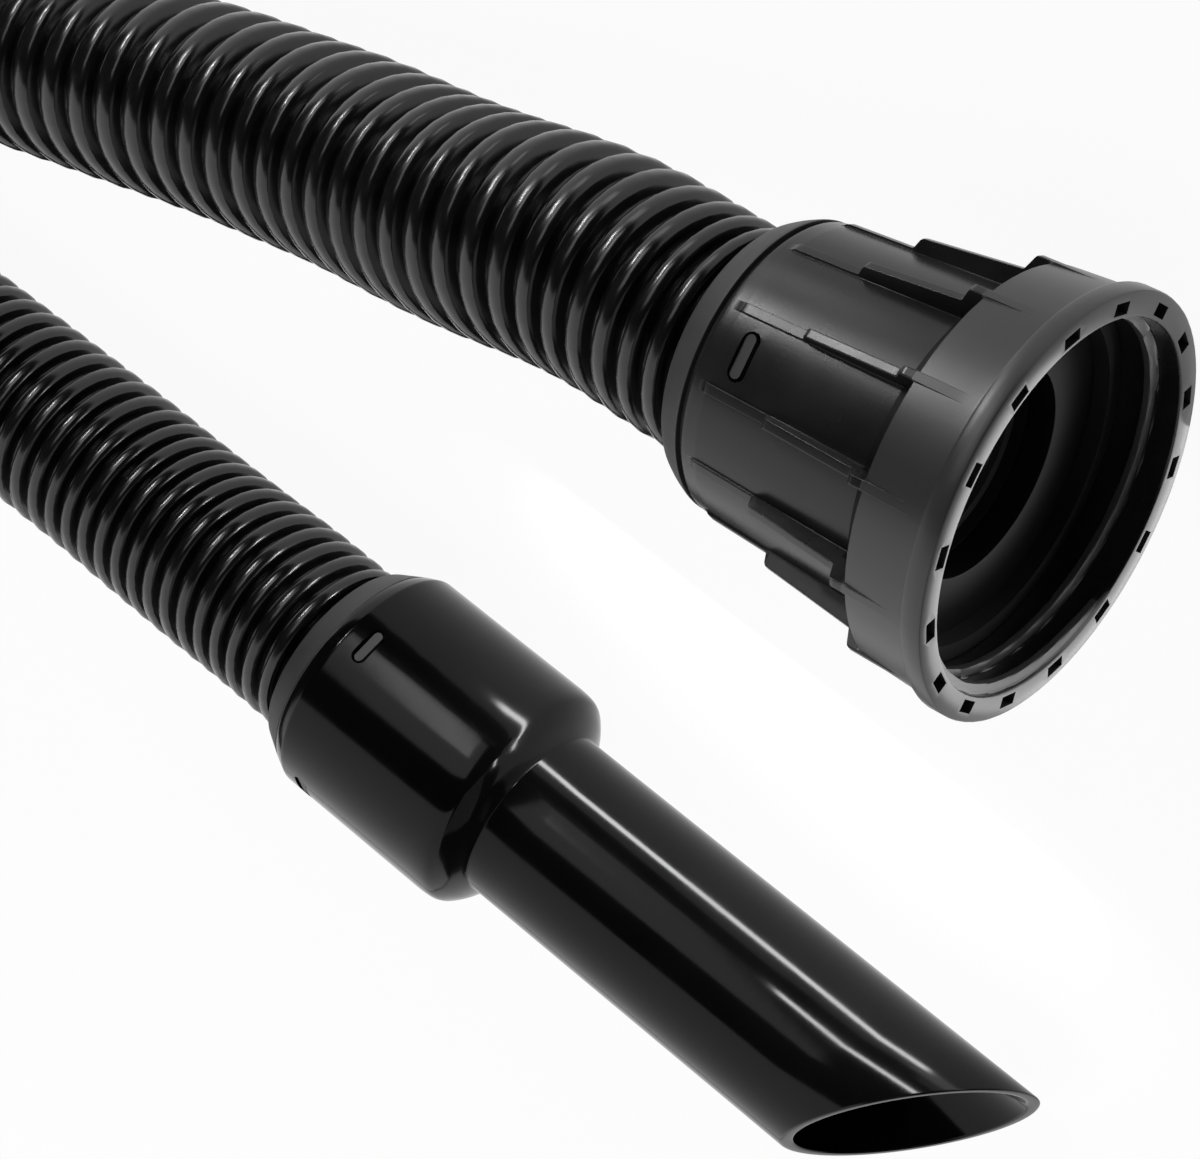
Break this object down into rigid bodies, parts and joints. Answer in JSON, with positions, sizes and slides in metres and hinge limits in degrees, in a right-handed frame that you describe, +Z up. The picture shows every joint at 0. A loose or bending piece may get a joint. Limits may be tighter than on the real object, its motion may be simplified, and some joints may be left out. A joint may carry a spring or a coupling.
{
  "type": "vacuum cleaner hose",
  "caption": "Corrugated black vacuum hose with a ribbed, threaded tank connector at one end and a glossy cuff with a slant-cut nozzle tube at the other, stored as a tied coil.",
  "frame": {"origin": "centre of the tank connector's flange face, on the axis of its thread", "axes": "-Y out of the connector's mouth, +Y back along the connector's axis towards the hose, +Z up from the floor that the hose lies on, which is at z = -0.036"},
  "size_m": [0.4817, 0.8441, 0.0815],
  "materials": {
    "connector": "satin moulded black plastic",
    "ring": "matte moulded black plastic",
    "sleeve": "moulded dark grey plastic",
    "seal": "black rubber",
    "cuff": "high-gloss moulded black plastic",
    "hose": "semi-gloss extruded black plastic",
    "strap": "woven black webbing",
    "buckle": "moulded black plastic"
  },
  "bodies": {
    "hose": {"hose_machine_run": "hose", "hose_coil": "hose", "hose_wand_run": "hose", "connector_hose_sleeve": "sleeve", "connector_swivel_seal": "seal", "cuff_hose_sleeve": "sleeve", "cuff_swivel_seal": "seal", "storage_tie": "strap", "tie_buckle": "buckle"},
    "connector": {"connector_body": "connector", "connector_retaining_ring": "ring", "connector_gasket": "seal"},
    "cuff": {"cuff_body": "cuff", "cuff_retaining_ring": "ring"}
  },
  "joints": [
    {"name": "connector_swivel", "type": "hinge", "parent": "hose", "child": "connector", "pos_m": [0, 0.035, 0], "axis": [0, -1, 0], "continuous": true},
    {"name": "cuff_swivel", "type": "hinge", "parent": "hose", "child": "cuff", "pos_m": [-0.14474, 0.15126, -0.01], "axis": [-0.2122, -0.9772, 0], "continuous": true}
  ]
}
